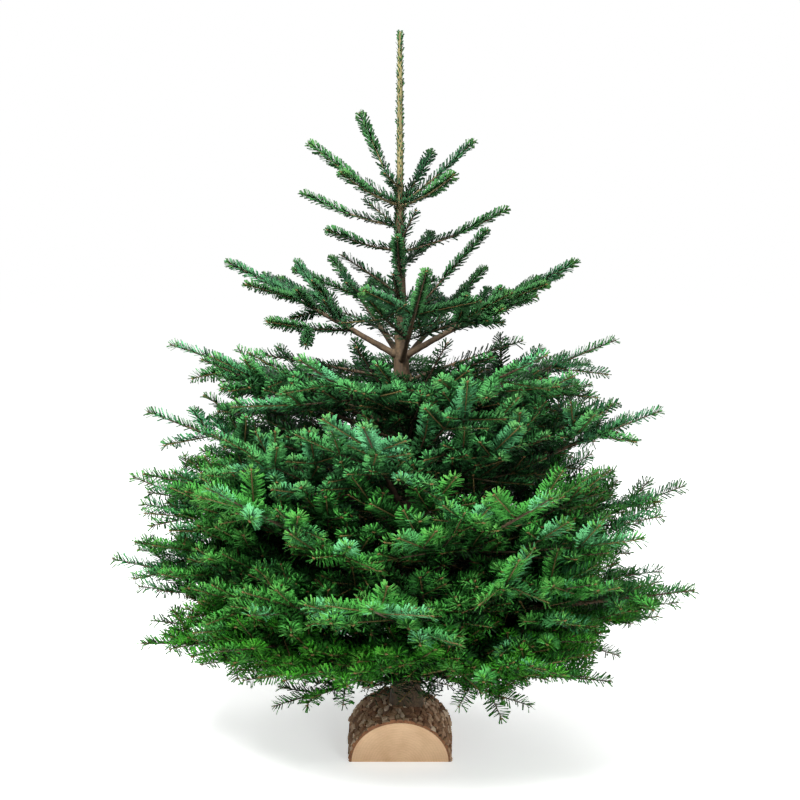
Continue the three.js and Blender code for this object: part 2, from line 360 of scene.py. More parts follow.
boughShape = {
    "footDepth": 0.004,     # corners this near to the nearest one to the trunk count as a bough's foot
    "tipMost": 0.6,         # the largest share of a bough that its last shoot takes
    "headingShare": 0.02,   # the stretch before a fork that gives it its heading, over the bough's length
    "yearScatter": (0.9, 1.1),
    "station": 0.009,       # between two rings of a bough's bark
    "taper": 1.25,
    "footRadius": 1.6 * mm,     # at the trunk, and how much more for each metre of reach
    "radiusPerReach": {"ring": 0.016, "between": 0.010},
    "singleRadius": 3.0 * mm,
}

twigShape = {"young": 1.05, "yearly": 0.5}      # radius of this year's, and what each year adds, mm
shoots = []     # every needled length of twig
limbs = []      # every bough's middle line with its radii, for the bark
twigs = []      # every twig's two ends and radii


def twigRadius(year):
    return (twigShape["young"] + twigShape["yearly"] * year) * mm


def footAndTip(*names):
    # of the corners, the foot is the nearest to the trunk's middle line and the tip the furthest
    spots = nodeCorners(*names)
    middle = trunkAxis(float(spots[:, 2].min()))
    away = np.hypot(*(spots - middle)[:, :2].T)
    near = spots[away < away.min() + boughShape["footDepth"]]
    return trunkAxis(float(near[:, 2].mean())), spots[away.argmax()], float(away.max())


leaderTop = float(trunkLevels[-1])
crownEnds = {"topReach": 0.01, "skirtHeight": 0.10, "skirtReach": 0.30}
# the height and reach of each wide ring's tips, which the whole crown keeps inside: above them it
# narrows to the leader's tip, and below them towards the stand
crownSteps = [(leaderTop, crownEnds["topReach"]), (crownEnds["skirtHeight"], crownEnds["skirtReach"])]
for ringNumber in list(ringHabits)[:-1]:
    ends = [footAndTip(name)[1:] for name in nodesLike(f"foliage_ring{ringNumber}_")]
    heights, reaches = [tip[2] for tip, reach in ends], [reach for tip, reach in ends]
    crownSteps.append((np.mean(heights), np.mean(reaches)))
crownSteps = np.array(sorted(crownSteps))


def outness(spot):
    # how far out in the crown a point is, from 0 at the trunk to 1 at the tips of its height
    away = float(np.hypot(*(spot - trunkAxis(spot[2]))[:2]))
    return away / float(np.interp(spot[2], crownSteps[:, 0], crownSteps[:, 1]))


def addShoot(start, end, up, year, tier, last):
    side = unit(np.cross(end - start, up))
    rolled = unit(up + side * rng.normal(0, growth["roll"]))
    shoots.append({"start": start, "end": end, "up": rolled, "year": year, "tier": tier,
                   "last": last, "radius": twigRadius(year)})


def squareTo(way, up):
    return unit(up - way * float(up @ way))


def heldBetween(start, along, total, habit, extra):
    # side branches stay under their bough's tip, with its room, and clear of the stand and the floor
    end = start + along * total
    bottom = growth["lowest"] + growth["frontLift"] * max(0.0, -end[1])
    bottom += growth["sideLift"] * max(0.0, abs(end[0]) - growth["stem"])
    bottom = min(bottom, habit.get("bottom", bottom))
    top = habit["top"] + habit["room"] + extra
    sink = max(0.0, bottom - end[2]) - max(0.0, end[2] - top)
    return unit(along + skyward * sink / total)


def growBranch(start, along, up, total, years, order, habit, extra=0.0):
    # a side branch grows a year's length at a time and forks at the end of each
    least = growth["leastShoot"]
    beyond = outness(start + along * total) - growth["outline"]
    if beyond > 0:
        total *= max(growth["cutLeast"], 1 - growth["cutRate"] * beyond)
    along = heldBetween(start, along, total, habit, extra)
    up = squareTo(along, up)
    while years > 1 and total / years < least:
        years -= 1
    if total / years < least * growth["leastShare"]:
        return
    side = np.cross(along, up)
    here, heading = start, along
    for year in range(years - 1, -1, -1):
        bend = rng.normal(0, growth["bend"])
        rise = rng.normal(growth["rise"], growth["riseScatter"])
        heading = unit(heading + side * bend + up * rise)
        there = here + heading * total / years * rng.uniform(*growth["yearScatter"])
        addShoot(here, there, up, year, habit["tier"], year == 0)
        twigs.append({"start": here, "end": there, "year": year,
                      "radii": (twigRadius(year + 0.6), twigRadius(year))})
        if year:
            forkBranch(there, heading, up, total * year / years, year, order, habit)
        weakShoots(here, there, up, year, order, habit)
        here = there


def forkBranch(at, heading, up, left, years, order, habit):
    lastOrder = growth["lastOrder"]
    if order >= lastOrder:
        return
    side = np.cross(heading, up)
    share = growth["sideShare"] * growth["orderShare"] ** order
    for hand in (-1, 1):
        angle = math.radians(growth["forkAngle"] + rng.normal(0, growth["forkScatter"]))
        lift = math.radians(habit["lift"] + rng.normal(0, growth["liftScatter"]))
        way = unit(heading * math.cos(angle) + side * hand * math.sin(angle) + up * math.sin(lift))
        total = left * share * rng.uniform(*growth["sideScatter"])
        growBranch(at, way, squareTo(way, up), total, years if order < lastOrder - 1 else 1,
                   order + 1, habit)
    if rng.random() < growth["topChance"][order] * habit["tops"]:
        angle = math.radians(rng.uniform(*growth["topLift"]))
        lean = rng.normal(0, growth["topLean"])
        way = unit(heading * math.cos(angle) + up * math.sin(angle) + side * lean)
        total = min(left, habit["shoot"]) * rng.uniform(*growth["topLength"])
        growBranch(at, way, squareTo(way, up), total, 1, lastOrder, habit, extra=growth["topRoom"])


def weakShoots(start, end, up, year, order, habit):
    if order >= growth["lastOrder"] or not year:
        return
    heading = unit(end - start)
    side = np.cross(heading, up)
    for hand in (-1, 1):
        for place in growth["weakPlaces"]:
            if rng.random() > growth["weakChance"][order]:
                continue
            angle = math.radians(rng.uniform(*growth["weakAngle"]))
            way = unit(heading * math.cos(angle) + side * hand * math.sin(angle)
                       + up * rng.normal(*growth["weakLift"]))
            total = habit["shoot"] * growth["weakShare"] * rng.uniform(*growth["weakScatter"])
            shift = rng.uniform(-growth["weakShift"], growth["weakShift"])
            growBranch(start + (end - start) * (place + shift), way, squareTo(way, up), total, 1,
                       growth["lastOrder"], habit)


def trueFoot(foot, tip, reach):
    # a solid's nearest corners stand at the trunk's side, a little above the bough's true foot
    slope = (tip[2] - foot[2]) / reach
    return trunkAxis(foot[2] - slope * trunkRadius(foot[2]))


def growBough(foot, tip, habit, footRadius):
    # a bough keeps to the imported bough's own line, from the trunk to its furthest tip
    chord = tip - foot
    chord = chord * (1 - growth["needleReach"] / float(np.linalg.norm(chord)))
    total = float(np.linalg.norm(chord))
    lift = habit["bow"] * float(np.linalg.norm(chord[:2]))
    habit = dict(habit, top=max(float(tip[2]), float(foot[2])))

    def linePoint(t):
        return foot + chord * t + skyward * lift * t * (1 - t)

    years = habit["years"]
    nodes = [0.0, 1.0]
    if years > 1:
        # the last shoot has its own length, and the years before it share the rest
        lastShare = min(habit["shoot"] / total, boughShape["tipMost"])
        steps = np.cumsum(rng.uniform(*boughShape["yearScatter"], years - 1))
        nodes[1:1] = list(steps / steps[-1] * (1 - lastShare))
    for year, begin, end in zip(range(years - 1, -1, -1), nodes[:-1], nodes[1:]):
        cuts = np.linspace(begin, end, 3)
        for low, high in zip(cuts[:-1], cuts[1:]):
            if (low + high) / 2 > habit["bare"]:
                start, stop = linePoint(low), linePoint(high)
                up = sideAndUp(unit(stop - start))[1]
                addShoot(start, stop, up, year, habit["tier"], high == 1.0)
        heading = unit(linePoint(end) - linePoint(end - boughShape["headingShare"]))
        up = sideAndUp(heading)[1]
        if year:
            forkBranch(linePoint(end), heading, up, total * (1 - end), year, 0, habit)
        if end > habit["bare"]:
            weakShoots(linePoint(max(begin, habit["bare"])), linePoint(end), up, year, 0, habit)
    stations = np.linspace(0, 1, max(8, int(total / boughShape["station"])))
    radii = twigRadius(0) + (footRadius - twigRadius(0)) * (1 - stations) ** boughShape["taper"]
    limbs.append({"points": np.array([linePoint(t) for t in stations]), "radii": radii,
                  "nodes": nodes, "total": total})


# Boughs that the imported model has, ring by ring. Each bough draws its own chances, so that a change
# to one leaves the others as they are
ringFeet = {}
for ringNumber, habit in ringHabits.items():
    feet = []
    for name in nodesLike(f"foliage_ring{ringNumber}_"):
        limbName = name.replace("foliage", "bough")
        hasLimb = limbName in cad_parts
        foot, tip, reach = footAndTip(name, *([limbName] if hasLimb else []))
        foot = trueFoot(foot, tip, reach)
        rng = np.random.default_rng([ringNumber, len(feet)])
        growBough(foot, tip, habit,
                  boughShape["footRadius"] + boughShape["radiusPerReach"]["ring"] * reach)
        feet.append(foot[2])
    ringFeet[ringNumber] = float(np.mean(feet))
print("ring boughs:", len(limbs), "shoots:", len(shoots))

# Single shoots: the ring at the leader's foot and the few on the trunk under it
singleHabit = {"years": 1, "bare": 0.0, "tier": "top", "bow": -0.18}
rng = np.random.default_rng(11)
for name in nodesLike("top_shoot_") + nodesLike("upper_shoot_"):
    foot, tip, reach = footAndTip(name)
    growBough(trueFoot(foot, tip, reach), tip, singleHabit, boughShape["singleRadius"])

# Boughs between the rings, which the masses stand in for too: they fill in between the big ones
betweenBoughs = {
    # ring above, where 0 and -1 are the single shoots: how many, where the first points, their reach,
    # their rise, years, how far down the gap they start, how much shorter they are over the log's face
    -1: {"count": 5, "first": 236, "reach": (0.05, 0.10), "rise": 40, "years": 1, "low": 0.1, "trim": 0.0},
    0: {"count": 8, "first": 30, "reach": (0.08, 0.15), "rise": 30, "years": 1, "low": 0.1, "trim": 0.0},
    1: {"count": 4, "first": 130, "reach": (0.19, 0.27), "rise": 17, "years": 2, "low": 0.4, "trim": 0.0},
    2: {"count": 8, "first": 182, "reach": (0.39, 0.45), "rise": 20, "years": 3, "low": 0.15, "trim": 0.2},
    3: {"count": 8, "first": 184, "reach": (0.49, 0.55), "rise": 13, "years": 4, "low": 0.15, "trim": 0.2},
    4: {"count": 8, "first": 179, "reach": (0.55, 0.60), "rise": 8, "years": 4, "low": 0.15, "trim": 0.2},
    5: {"count": 8, "first": 183, "reach": (0.55, 0.60), "rise": 5, "years": 4, "low": 0.15, "trim": 0.25},
    6: {"count": 8, "first": 181, "reach": (0.52, 0.58), "rise": 6, "years": 4, "low": 0.15, "trim": 0.5},
}
# and the few that stand alone where the crown is open, so that each one shows
loneBoughs = [
    {"height": 0.950, "turn": 200, "reach": 0.13, "rise": 33, "years": 1},
    {"height": 0.884, "turn": 345, "reach": 0.18, "rise": 48, "years": 1},
    {"height": 0.775, "turn": 186, "reach": 0.30, "rise": 11, "years": 2},
    {"height": 0.770, "turn": 352, "reach": 0.25, "rise": 20, "years": 2},
    {"height": 0.690, "turn": 246, "reach": 0.22, "rise": 38, "years": 2},
    {"height": 0.680, "turn": 293, "reach": 0.22, "rise": 41, "years": 2},
    {"height": 0.640, "turn": 268, "reach": 0.30, "rise": 28, "years": 2},
    {"height": 0.172, "turn": 250, "reach": 0.20, "rise": -3, "years": 2},
    {"height": 0.174, "turn": 288, "reach": 0.19, "rise": -3, "years": 2},
    {"height": 0.420, "turn": 176, "reach": 0.56, "rise": 9, "years": 4},
    {"height": 0.365, "turn": 186, "reach": 0.56, "rise": 8.5, "years": 4},
    {"height": 0.275, "turn": 178, "reach": 0.57, "rise": 6, "years": 4},
    {"height": 0.200, "turn": 187, "reach": 0.54, "rise": 4, "years": 4},
    {"height": 0.400, "turn": 3, "reach": 0.50, "rise": 8, "years": 4},
    {"height": 0.230, "turn": 356, "reach": 0.53, "rise": 6, "years": 4},
    {"height": 0.168, "turn": 332, "reach": 0.29, "rise": -8, "years": 2},
    {"height": 0.166, "turn": 205, "reach": 0.30, "rise": -8, "years": 2},
    {"height": 0.176, "turn": 228, "reach": 0.28, "rise": -1, "years": 3},
    {"height": 0.178, "turn": 312, "reach": 0.29, "rise": -1, "years": 3},
]
betweenRule = {
    "singlesFoot": 0.13,    # the single shoots' height over the top ring's
    "whorlFoot": 0.37,      # and that of the ones at the leader's foot
    "downMost": 0.8,        # how far down the rest of the gap the lowest one stands
    "downStep": 0.618,      # and how they are dealt out in between
    "turnScatter": 5,
    "rearTrim": 0.07,       # how much shorter they are at the back
    "rearFlat": 0.35,       # how much flatter at the back
    "frontRise": 5,         # how much steeper over the log's face, degrees
    "riseShare": 6,         # their rise over its scatter
    "bare": 0.14,
    "loneSink": 0.02,       # how far a lone bough's side branches may hang under it
}
ringFeet[0] = ringFeet[1] + betweenRule["singlesFoot"]
ringFeet[-1] = ringFeet[1] + betweenRule["whorlFoot"]


def growBetween(height, turn, reach, rise, years, habit):
    foot = trunkAxis(height)
    turn, rise = math.radians(turn), math.radians(rise)
    tip = foot + reach * np.array((math.cos(turn), math.sin(turn), math.tan(rise)))
    growBough(foot, tip, dict(habit, years=years, bare=betweenRule["bare"]),
              boughShape["footRadius"] + boughShape["radiusPerReach"]["between"] * reach)


for ringNumber, plan in betweenBoughs.items():
    above, below = ringFeet[ringNumber], ringFeet[ringNumber + 1]
    for i in range(plan["count"]):
        rng = np.random.default_rng([ringNumber + 1, i, 5])
        down = (i * betweenRule["downStep"] % 1) * (1 - plan["low"])
        down = plan["low"] + betweenRule["downMost"] * down
        turn = plan["first"] + 360 * i / plan["count"] + rng.normal(0, betweenRule["turnScatter"])
        front = -math.sin(math.radians(turn))       # 1 over the log's face, -1 at the back
        fore, aft = max(0.0, front), min(0.0, front)
        trim = plan["trim"] * fore ** 2 + betweenRule["rearTrim"] * aft ** 2
        reach = rng.uniform(*plan["reach"]) * (1 - trim)
        rise = plan["rise"] * (1 + betweenRule["rearFlat"] * aft) + betweenRule["frontRise"] * fore
        rise += rng.normal(0, 1 + plan["rise"] / betweenRule["riseShare"])
        growBetween(above + (below - above) * down, turn, reach, rise, plan["years"],
                    ringHabits[max(1, ringNumber + 1)])
for i, lone in enumerate(loneBoughs):
    rng = np.random.default_rng([i, 17])
    ringsOver = [n for n in ringHabits if ringFeet[n] >= lone["height"]]
    drop = min(0.0, lone["reach"] * math.tan(math.radians(lone["rise"])))
    bottom = lone["height"] + drop - betweenRule["loneSink"]
    growBetween(**lone, habit=dict(ringHabits[min(7, len(ringsOver) + 1)], bottom=bottom))
needledLength = sum(float(np.linalg.norm(shoot["end"] - shoot["start"])) for shoot in shoots)
print("all boughs:", len(limbs), "shoots:", len(shoots), "metres of them:", round(needledLength))


# Needles
needleShape = {
    "length": {"top": 18.5 * mm, "middle": 21.5 * mm, "lower": 25 * mm, "skirt": 24 * mm},
    "lengthScatter": (0.88, 1.06),
    "baseWidth": 1.8 * mm,  # fir needles are broadest near their blunt ends
    "tipWidth": {"top": 3.2 * mm, "middle": 3.0 * mm, "lower": 2.9 * mm, "skirt": 3.0 * mm},
    "widthScatter": (0.85, 1.1),
    "thickness": 0.9 * mm,
    "perMetre": {"top": 1650, "middle": 980, "lower": 880, "skirt": 860},  # on a young shoot
    "oldShare": 0.7,        # of that on wood two years old and more
    "deepShare": 0.5,       # and deep in the crown
    "faceOut": 0.25,        # how far the flats are turned to the side
    "faceScatter": {"top": 0.85, "middle": 0.5, "lower": 0.42, "skirt": 0.42},
    "sideLean": {"top": 46, "middle": 60, "lower": 63, "skirt": 62},    # degrees from the twig
    "topLean": 44,          # and on top of it
    "leanScatter": (4, 13),     # along a shoot, and at its very end
    "topLength": 0.86,      # of a side needle's, on top
    "lift": 0.08,           # how far every needle turns up
    "rollScatter": 0.25,
    "sideRoll": {"top": 138, "middle": 114, "lower": 112, "skirt": 112},    # how far round they stand
    "sideBand": 0.9,        # how wide a band at the sides takes the ones that would hang under it
    "ending": 0.018,        # the last stretch of a shoot, where they close up round the bud
    "endingLean": 0.22,     # how much further forward they lean there
    "endingLength": 0.42,   # and how much shorter they are
    "opening": 0.012,       # the first stretch of one, where they start short
    "openingLength": 0.75,
    "tipLength": 20 * mm,   # the paler end of a shoot
    "paleShare": 0.8,       # of the needles on it that are pale
}
toneRule = {
    "deep": 0.50,           # share of the crown's radius inside which young needles take the shade tone, painted shade
    # and inside which they take the darker inner tone, also painted shade
    "inner": 0.70,
    "outer": 0.80,          # and outside which some whole sprays take a paler, bluer tone, a painted sheen
    "scatter": 0.06,
    "blue": {"top": 0.45, "middle": 0.35, "lower": 0.25, "skirt": 0.1},
    "mint": {"top": 0.15, "middle": 0.25, "lower": 0.4, "skirt": 0.15},
}
needlesBy = {}


def spread(shoot, perMetre, tier, sleeve=0.0):
    # corners of every needle on a shoot, with how far along the shoot each stands. A sleeve is the
    # even coat of needles all round the trunk, and its value is their share of a needle's length
    start, end, up = shoot["start"], shoot["end"], shoot["up"]
    length = float(np.linalg.norm(end - start))
    along = (end - start) / length
    side = unit(np.cross(along, up))
    up = np.cross(side, along)
    count = max(6, int(length * perMetre))
    share = (np.arange(count) + rng.random(count)) / count
    ending = np.zeros(count)
    if shoot["last"]:
        ending = smoothStep(share, 1 - needleShape["ending"] / length, 1)
    # roll is counted from the top of the twig, and few hang under it, except at its very end
    roll = np.arange(count) * goldenAngle + rng.normal(0, needleShape["rollScatter"], count)
    roll = roll % (2 * math.pi) - math.pi
    limit = math.radians(needleShape["sideRoll"][tier])
    under = (np.abs(roll) > limit) & (rng.random(count) > ending)
    if sleeve:
        lean = np.radians(rng.normal(*sleeveShape["lean"], count))
        longness = np.full(count, sleeve)
    else:
        atSide = limit - rng.random(count) * needleShape["sideBand"]
        roll = np.where(under, np.sign(roll) * atSide, roll)
        flat = np.where(np.abs(roll) > math.pi / 2, 1, np.abs(np.sin(roll)))
        lean = needleShape["topLean"] + (needleShape["sideLean"][tier] - needleShape["topLean"]) * flat
        least, most = needleShape["leanScatter"]
        scatter = rng.normal(0, 1, count) * (least + (most - least) * ending)
        lean = np.radians(lean * (1 - needleShape["endingLean"] * ending) + scatter)
        longness = needleShape["topLength"] + (1 - needleShape["topLength"]) * flat
    opening = smoothStep(share, 0, needleShape["opening"] / length)
    longness = longness * (needleShape["openingLength"] + (1 - needleShape["openingLength"]) * opening)
    longness = longness * (1 - needleShape["endingLength"] * ending)
    outward = np.sin(roll)[:, None] * side + np.cos(roll)[:, None] * up
    heading = np.cos(lean)[:, None] * along + np.sin(lean)[:, None] * outward
    heading = heading + up * needleShape["lift"]
    heading /= np.linalg.norm(heading, axis=1)[:, None]
    reach = needleShape["length"][tier] * longness * rng.uniform(*needleShape["lengthScatter"], count)
    base = start + along * (share * length)[:, None] + outward * shoot["radius"] * 0.8   # a little sunk in
    facing = outward if sleeve else up + outward * needleShape["faceOut"]
    facing = facing + rng.normal(0, needleShape["faceScatter"][tier], (count, 3))
    width = np.cross(facing, heading)
    width /= np.linalg.norm(width, axis=1)[:, None]
    top = np.cross(heading, width) * needleShape["thickness"] / 2
    wide = rng.uniform(*needleShape["widthScatter"], count)[:, None] / 2
    foot = width * needleShape["baseWidth"] * wide
    blunt = width * needleShape["tipWidth"][tier] * wide
    tips = base + heading * reach[:, None]
    # the two long edges are skewed against each other, which gives the blade its thickness
    corners = np.stack([base - foot + top, base + foot - top,
                        tips - blunt - top, tips + blunt + top], axis=1)
    return corners, share * length, length


def keepNeedles(tier, tone, corners):
    if len(corners):
        needlesBy.setdefault((tier, tone), []).append(corners.astype(np.float32))


rng = np.random.default_rng(24)
for shoot in shoots:
    year, tier = shoot["year"], shoot["tier"]
    out = outness(shoot["end"]) + rng.normal(0, toneRule["scatter"])
    density = needleShape["perMetre"][tier] * (1 if year == 0 else needleShape["oldShare"])
    if out < toneRule["deep"]:
        density *= needleShape["deepShare"]
    corners, place, length = spread(shoot, density, tier)
    tone = "blue" if rng.random() < toneRule["blue"][tier] else "green"
    # the shade and inner tones are painted shade for needles deep in the crown, and also the darker colour
    # of needles a year old and more
    if out < toneRule["deep"] or year > 1:
        tone = "shade"
    elif out < toneRule["inner"] or year == 1:
        tone = "inner"
    # sprays on the crown's outside may take a paler, bluer tone that paints the sheen of light on their
    # needles
    elif out > toneRule["outer"] and rng.random() < toneRule["mint"][tier]:
        tone = "mint"
    ends = np.zeros(len(place), bool)
    # painted shade too: shoots deep in the crown get no pale ends, and inner ones get green ends
    if shoot["last"] and out > toneRule["deep"]:
        pale = rng.random(len(place)) < needleShape["paleShare"]
        ends = (place > length - needleShape["tipLength"]) & pale
    keepNeedles(tier, "tip" if out > toneRule["inner"] else "green", corners[ends])
    keepNeedles(tier, tone, corners[~ends])

# The leader's own needles stand close and short all round it, and the year's growth under it still
# carries its own
sleeveShape = {
    "lean": (27, 5),        # middle and scatter, degrees from the trunk
    "leader": {"steps": 13, "length": 0.5, "perMetre": 900, "tipPerMetre": 1500},
    "stem": {"steps": 6, "length": 0.8, "perMetre": 1300},
    "leaderStart": 0.03,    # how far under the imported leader's needles they start
    "stemStart": 0.06,      # and over the single shoots
}


def growSleeve(low, high, plan):
    heights = np.linspace(low, high, plan["steps"] + 1)
    for lower, upper in zip(heights[:-1], heights[1:]):
        last = upper == leaderTop
        shoot = {"start": trunkAxis(lower), "end": trunkAxis(upper), "up": np.array((0.0, -1.0, 0.0)),
                 "radius": trunkRadius(lower), "last": last}
        perMetre = plan["tipPerMetre"] if last else plan["perMetre"]
        corners = spread(shoot, perMetre, "top", sleeve=plan["length"])[0]
        keepNeedles("top", "green" if last else "inner", corners)


leaderFoot = float(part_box("leader_needles")[0][2]) - sleeveShape["leaderStart"]
growSleeve(leaderFoot, leaderTop, sleeveShape["leader"])
growSleeve(ringFeet[0] + sleeveShape["stemStart"], leaderFoot, sleeveShape["stem"])

needleLimit = 48000     # needles in a piece, four triangles each


def meshFromArrays(name, corners, faces, tints=None):
    # many copies of one small shape, each with its own corners, joined in a mesh
    count, each = corners.shape[:2]
    loops = (np.arange(count)[:, None, None] * each + np.array(faces)[None]).reshape(-1)
    mesh = bpy.data.meshes.new(name)
    mesh.vertices.add(count * each)
    mesh.vertices.foreach_set("co", corners.astype(np.float32).reshape(-1))
    mesh.loops.add(len(loops))
    mesh.loops.foreach_set("vertex_index", loops.astype(np.int32))
    mesh.polygons.add(len(loops) // 3)
    mesh.polygons.foreach_set("loop_start", np.arange(0, len(loops), 3, dtype=np.int32))
    if tints:
        mesh.polygons.foreach_set("material_index", np.tile(tints, count).astype(np.int32))
    mesh.update(calc_edges=True)
    return mesh


tierNodes = {
    "top": nodesLike("top_shoot_") + nodesLike("upper_shoot_") + nodesLike("foliage_ring1_")
    + ["leader_needles"],
    "middle": nodesLike("foliage_ring2_") + nodesLike("foliage_ring3_"),
    "lower": nodesLike("foliage_ring4_") + nodesLike("foliage_ring5_"),
    "skirt": nodesLike("foliage_ring6_") + nodesLike("foliage_ring7_"),
}
# foot right 0 and left 1, tip right 2 and left 3: two faces above, two beneath
needleFaces = [[0, 3, 1], [0, 2, 3], [0, 1, 2], [1, 3, 2]]
needleCount = 0
for (tier, tone), parts in sorted(needlesBy.items()):
    corners = np.concatenate(parts)
    needleCount += len(corners)
    pieces = -(-len(corners) // needleLimit)
    for i, share in enumerate(np.array_split(corners, pieces)):
        name = f"needles_{tier}_{tone}" + (f"_{i + 1}" if pieces > 1 else "")
        mesh = meshFromArrays(name, share, needleFaces, [0, 0, 1, 1])
        piece = newObject(name, mesh, needleMaterials[tier, tone])
        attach(piece, "root")
        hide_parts(*tierNodes[tier])
print("needles:", needleCount, "triangles:", needleCount * 4)


# Twigs and buds
twigSides, budSides = 5, 5


def ringsRound(centres, along, radii, sides):
    across = np.cross(along, skyward)
    across[np.linalg.norm(across, axis=1) < upright] = (1.0, 0.0, 0.0)
    across /= np.linalg.norm(across, axis=1)[:, None]
    third = np.cross(across, along)
    turn = np.arange(sides) * 2 * math.pi / sides
    ring = (np.cos(turn)[None, :, None] * across[:, None]
            + np.sin(turn)[None, :, None] * third[:, None])
    return centres[:, None] + ring * radii[:, None, None]


def headings(starts, ends):
    along = ends - starts
    return along / np.linalg.norm(along, axis=1)[:, None]


tubeFaces, budFaces = [], []
for i in range(twigSides):
    j = (i + 1) % twigSides
    tubeFaces += [[i, i + twigSides, j + twigSides], [i, j + twigSides, j],
                  [2 * twigSides, i, j], [2 * twigSides + 1, j + twigSides, i + twigSides]]
for i in range(budSides):
    j = (i + 1) % budSides
    budFaces += [[0, 1 + j, 1 + i], [budSides + 1, 1 + i, 1 + j]]

for name, material, chosen in (
    ("twigs_young", youngTwigMaterial, [t for t in twigs if t["year"] == 0]),
    ("twigs_older", oldTwigMaterial, [t for t in twigs if t["year"] > 0]),
):
    starts = np.array([t["start"] for t in chosen])
    ends = np.array([t["end"] for t in chosen])
    radii = np.array([t["radii"] for t in chosen])
    along = headings(starts, ends)
    caps = np.stack([starts, ends + along * radii[:, 1:]], axis=1)
    corners = np.concatenate([ringsRound(starts, along, radii[:, 0], twigSides),
                              ringsRound(ends, along, radii[:, 1], twigSides), caps], axis=1)
    mesh = meshFromArrays(name, corners, tubeFaces)
    mesh.shade_smooth()
    piece = newObject(name, mesh, [material])
    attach(piece, "root")

budShape = {"length": 5 * mm, "lengthScatter": (0.75, 1.1), "radius": 1.5 * mm, "sideAngle": 42,
            "sunk": 1 * mm, "waist": 0.45}
budStarts, budEnds = [], []
for shoot in shoots:
    if not shoot["last"]:
        continue
    along = unit(shoot["end"] - shoot["start"])
    side = unit(np.cross(along, shoot["up"]))
    angle = math.radians(budShape["sideAngle"])
    for hand in (-1, 0, 1):
        way = along * math.cos(angle * hand) + side * math.sin(angle * hand)
        budStarts.append(shoot["end"] - along * budShape["sunk"])
        size = budShape["length"] * rng.uniform(*budShape["lengthScatter"])
        budEnds.append(shoot["end"] + way * size)
budStarts, budEnds = np.array(budStarts), np.array(budEnds)
waists = ringsRound(budStarts + (budEnds - budStarts) * budShape["waist"], headings(budStarts, budEnds),
                    np.full(len(budStarts), budShape["radius"]), budSides)
corners = np.concatenate([budStarts[:, None], waists, budEnds[:, None]], axis=1)
mesh = meshFromArrays("buds", corners, budFaces)
mesh.shade_smooth()
piece = newObject("buds", mesh, [budMaterial])
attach(piece, "root")
print("twigs:", len(twigs), "buds:", len(budStarts))


# Trunk and boughs with their bark, each a tube along its own line
def loftTube(points, radii, sides, relief=None):
    # a tapered tube drawn out ring by ring along a line, closed at both ends
    bm = bmesh.new()
    points = [Vector(p) for p in points]
    made = bmesh.ops.create_circle(bm, cap_ends=False, radius=1, segments=sides)
    ring = list(made["verts"])
    shape = [v.co.copy() for v in ring]
    ways = [(points[min(i + 1, len(points) - 1)] - points[max(i - 1, 0)]).normalized()
            for i in range(len(points))]
    turn = ways[0].to_track_quat("Z", "X")
    edges = list({e for v in ring for e in v.link_edges})
    bottom = ring
    for i, (point, radius) in enumerate(zip(points, radii)):
        if i:
            turn = ways[i - 1].rotation_difference(ways[i]) @ turn
            grown = bmesh.ops.extrude_edge_only(bm, edges=edges)["geom"]
            newRing = [g for g in grown if isinstance(g, bmesh.types.BMVert)]
            edges = [g for g in grown if isinstance(g, bmesh.types.BMEdge)]
            edges = [e for e in edges if e.verts[0] in newRing and e.verts[1] in newRing]
            order = {}
            for v in ring:
                for e in v.link_edges:
                    other = e.other_vert(v)
                    if other in newRing:
                        order[v] = other
            ring = [order[v] for v in ring]
        for v, spot in zip(ring, shape):
            out = turn @ spot
            lump = relief(point, out, radius, i) if relief else 0
            v.co = point + out * (radius + lump)
    bmesh.ops.contextual_create(bm, geom=bottom)
    bmesh.ops.contextual_create(bm, geom=ring)
    bmesh.ops.recalc_face_normals(bm, faces=bm.faces)
    for face in bm.faces:
        face.smooth = True
    return bm


boughFeet = [(Vector(limb["points"][0]), Vector(unit(limb["points"][2] - limb["points"][0])),
              float(limb["radii"][0])) for limb in limbs]
trunkRelief = {
    "rise": 1.4 * mm, "riseScale": Vector((38, 38, 14)),
    "furrow": 1.0 * mm, "furrowScale": Vector((150, 150, 60)),
    "fullAt": 14 * mm,      # the trunk's radius from which the relief is at its full height
    "collar": 1.0,          # how far the trunk swells round a bough's foot, over the bough's radius
    "collarSpan": 1.6,      # and how far up and down
    "collarFocus": 5,       # a larger one keeps the swelling closer round the bough
    "collarFullAt": 10 * mm,
    "step": 4 * mm, "sides": 36,
    "bottom": 0.066,        # inside the half log, under its top
    "pared": 0.12,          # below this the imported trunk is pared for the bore, and the bark isn't
    "flare": 0.22,          # it swells out instead between these heights, over the bore's rim
    "flareFrom": 0.088, "flareTo": 0.135,
}


def barkLump(point, out, radius, i):
    spot = point + out * radius
    coarse = noise.noise(spot * trunkRelief["riseScale"])
    fine = noise.noise(spot * trunkRelief["furrowScale"])
    share = min(1.0, radius / trunkRelief["fullAt"])
    lump = share * (trunkRelief["rise"] * coarse + trunkRelief["furrow"] * fine)
    for foot, way, thick in boughFeet:
        drop = abs(point.z - foot.z - way.z * radius)
        span = trunkRelief["collarSpan"] * thick
        if drop < 2 * span:
            facing = max(0.0, out.x * way.x + out.y * way.y) ** trunkRelief["collarFocus"]
            swell = trunkRelief["collar"] * thick * math.exp(-(drop / span) ** 2)
            lump += swell * facing * min(1, radius / trunkRelief["collarFullAt"])
    return lump


trunkStations = np.arange(trunkRelief["bottom"], leaderTop, trunkRelief["step"])
trunkStations = np.append(trunkStations, leaderTop)


def shownRadius(height):
    if height >= trunkRelief["pared"]:
        return trunkRadius(height)
    flare = 1 - smoothStep(height, trunkRelief["flareFrom"], trunkRelief["flareTo"])
    return float(trunkRadius(trunkRelief["pared"]) * (1 + trunkRelief["flare"] * flare))


